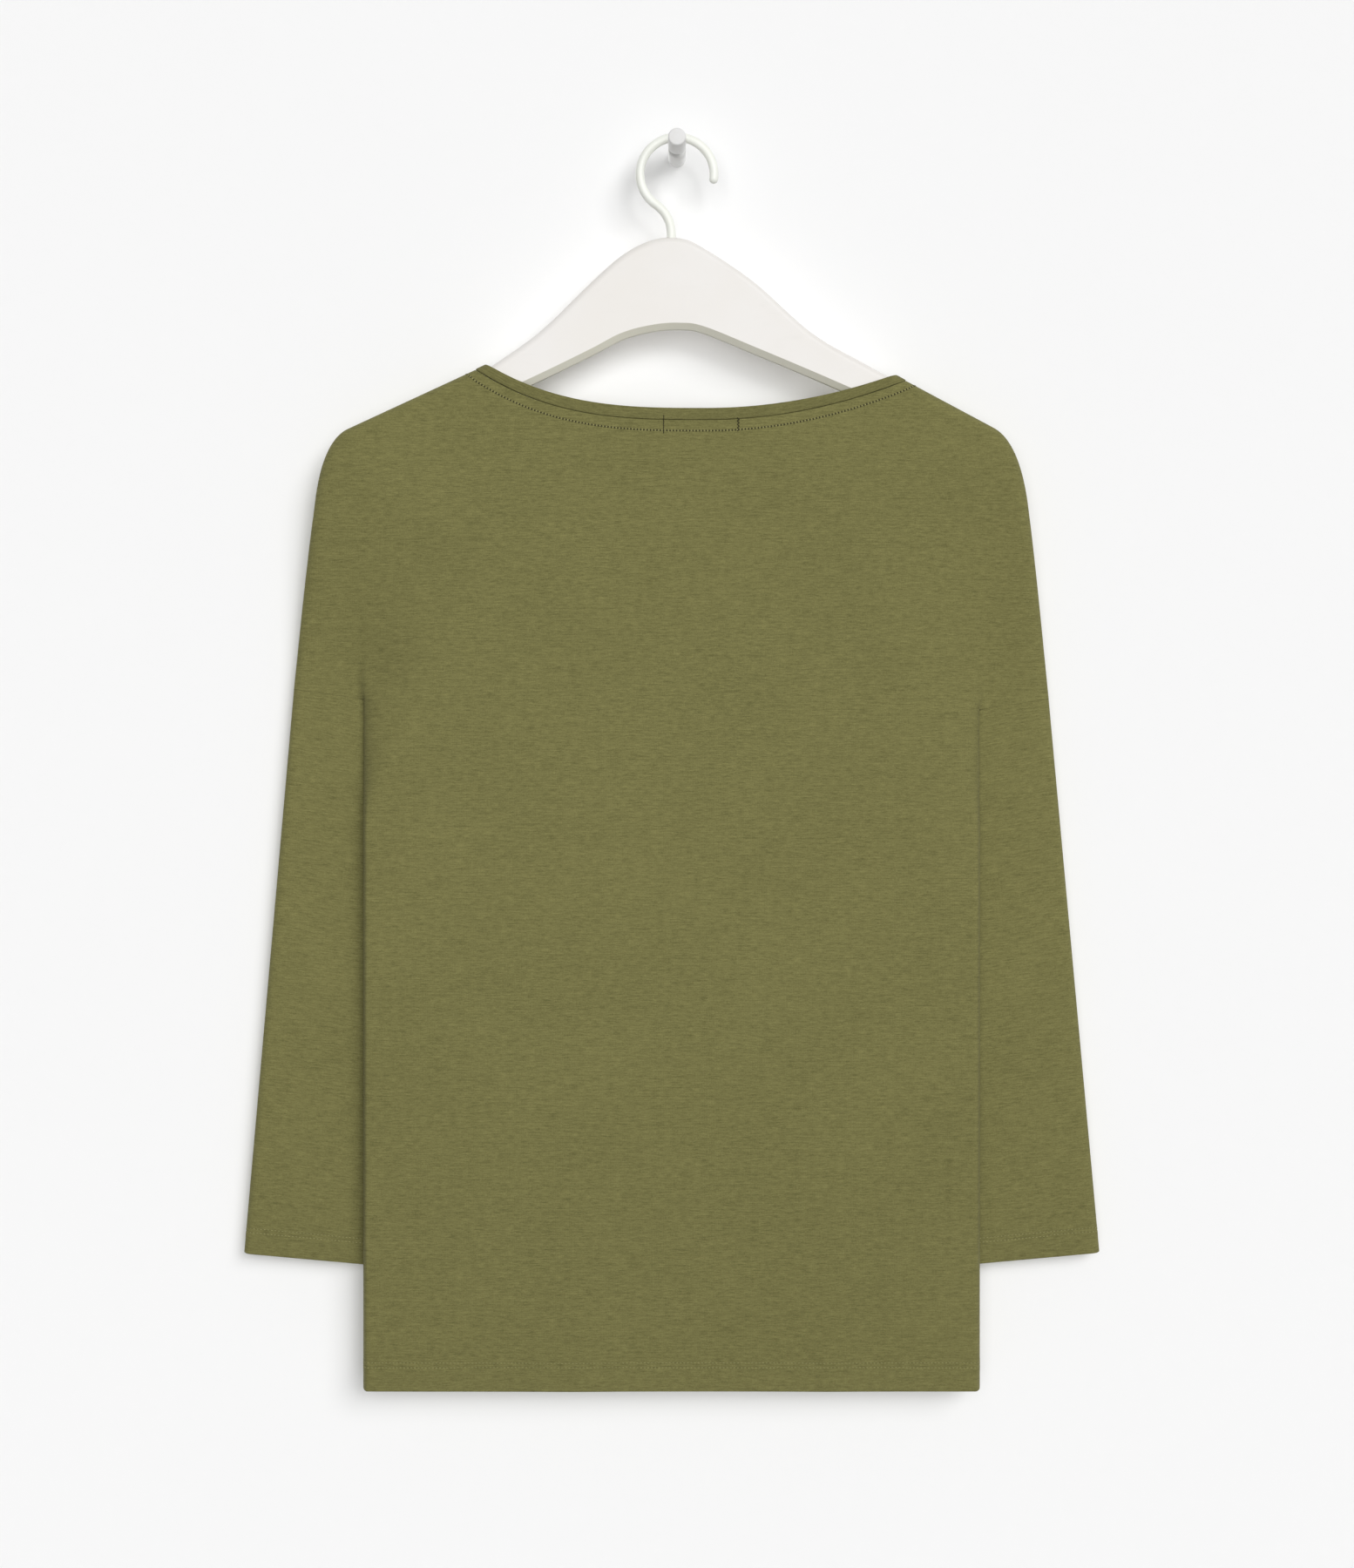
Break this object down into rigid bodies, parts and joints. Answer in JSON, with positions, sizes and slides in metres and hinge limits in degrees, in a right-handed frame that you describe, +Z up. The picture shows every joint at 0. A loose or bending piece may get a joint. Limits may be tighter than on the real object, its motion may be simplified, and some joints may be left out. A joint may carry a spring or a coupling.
{
  "type": "jersey top on a hanger and wall peg",
  "caption": "Olive jersey top with a wide boat neck and long straight sleeves, hung flat on a moulded hanger whose round hook rests on a short wall peg.",
  "frame": {"origin": "the top of the hook's inner curve, where the hook rests on the peg", "axes": "+Z up, +Y towards the wall, +X to the right as seen from the room; the garment's back faces -Y"},
  "size_m": [0.5578, 0.053, 0.8109],
  "materials": {
    "jersey": "matt slub jersey",
    "band_jersey": "matt slub jersey, doubled",
    "hanger_shell": "smooth satin, warm white",
    "hook_wire": "satin coated wire, white",
    "peg_finish": "smooth matt, white"
  },
  "bodies": {
    "root": {"back_panel": "jersey", "front_panel": "jersey", "sleeve_left": "jersey", "sleeve_right": "jersey", "neckband": "band_jersey", "hanger_body": "hanger_shell", "hanger_hook": "hook_wire", "wall_peg": "peg_finish"}
  },
  "joints": []
}
